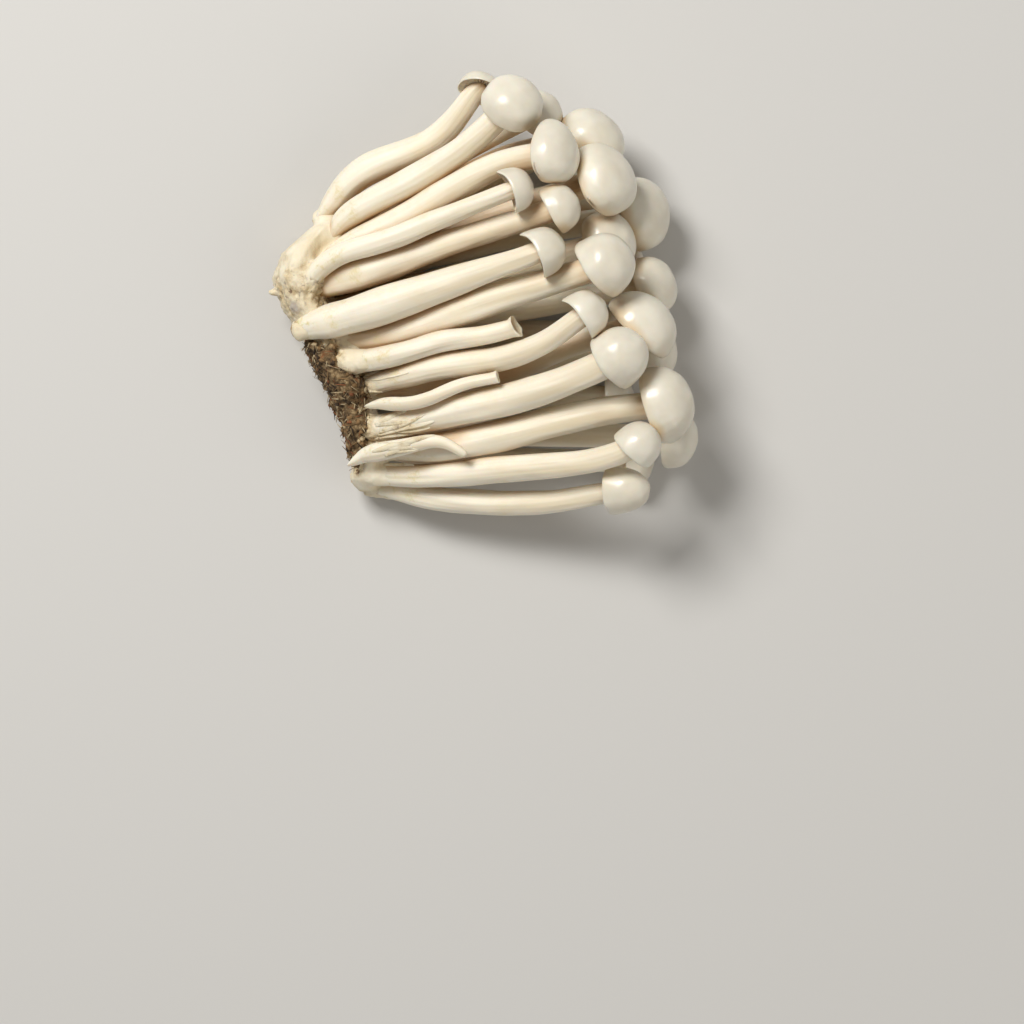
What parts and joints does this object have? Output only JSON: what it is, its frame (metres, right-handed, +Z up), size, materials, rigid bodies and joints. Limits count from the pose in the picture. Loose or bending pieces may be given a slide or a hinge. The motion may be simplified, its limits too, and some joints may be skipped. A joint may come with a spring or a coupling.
{
  "type": "beech mushroom cluster",
  "caption": "Cluster of white beech mushrooms lying on its side, slender stems fanning out from a cut butt to small round caps with gills.",
  "frame": {"origin": "under the middle of the cluster, on the surface that it lies on", "axes": "+X from the root end to the caps, +Y across the fan of stems, +Z up"},
  "size_m": [0.0998, 0.1028, 0.0451],
  "materials": {
    "cap_skin": "smooth, waxy ivory skin with a soft sheen",
    "stem_flesh": "matt cream flesh with fine fibres along the stem",
    "butt_tissue": "crumbly, matt beige",
    "growing_block": "coarse brown fibres and sawdust"
  },
  "bodies": {
    "root": {"butt": "butt_tissue", "growing_block_strip": "growing_block", "stem_01": "stem_flesh", "cap_01": "cap_skin", "stem_02": "stem_flesh", "cap_02": "cap_skin", "stem_03": "stem_flesh", "cap_03": "cap_skin", "stem_04": "stem_flesh", "cap_04": "cap_skin", "stem_05": "stem_flesh", "cap_05": "cap_skin", "stem_06": "stem_flesh", "cap_06": "cap_skin", "stem_07": "stem_flesh", "cap_07": "cap_skin", "stem_08": "stem_flesh", "cap_08": "cap_skin", "stem_09": "stem_flesh", "cap_09": "cap_skin", "stem_10": "stem_flesh", "cap_10": "cap_skin", "stem_11": "stem_flesh", "cap_11": "cap_skin", "stem_12": "stem_flesh", "cap_12": "cap_skin", "stem_13": "stem_flesh", "cap_13": "cap_skin", "stem_14": "stem_flesh", "cap_14": "cap_skin", "stem_15": "stem_flesh", "cap_15": "cap_skin", "stem_16": "stem_flesh", "cap_16": "cap_skin", "stem_17": "stem_flesh", "cap_17": "cap_skin", "stem_18": "stem_flesh", "cap_18": "cap_skin", "stem_19": "stem_flesh", "cap_19": "cap_skin", "stem_20": "stem_flesh", "cap_20": "cap_skin", "stem_21": "stem_flesh", "cap_21": "cap_skin", "stem_22": "stem_flesh", "cap_22": "cap_skin", "stem_23": "stem_flesh", "cap_23": "cap_skin", "stem_24": "stem_flesh", "cap_24": "cap_skin", "stem_25": "stem_flesh", "cap_25": "cap_skin", "stem_26": "stem_flesh", "cap_26": "cap_skin", "stem_27": "stem_flesh", "cap_27": "cap_skin", "broken_stem": "stem_flesh", "stunted_1_stem": "stem_flesh", "stunted_2_stem": "stem_flesh"}
  },
  "joints": []
}
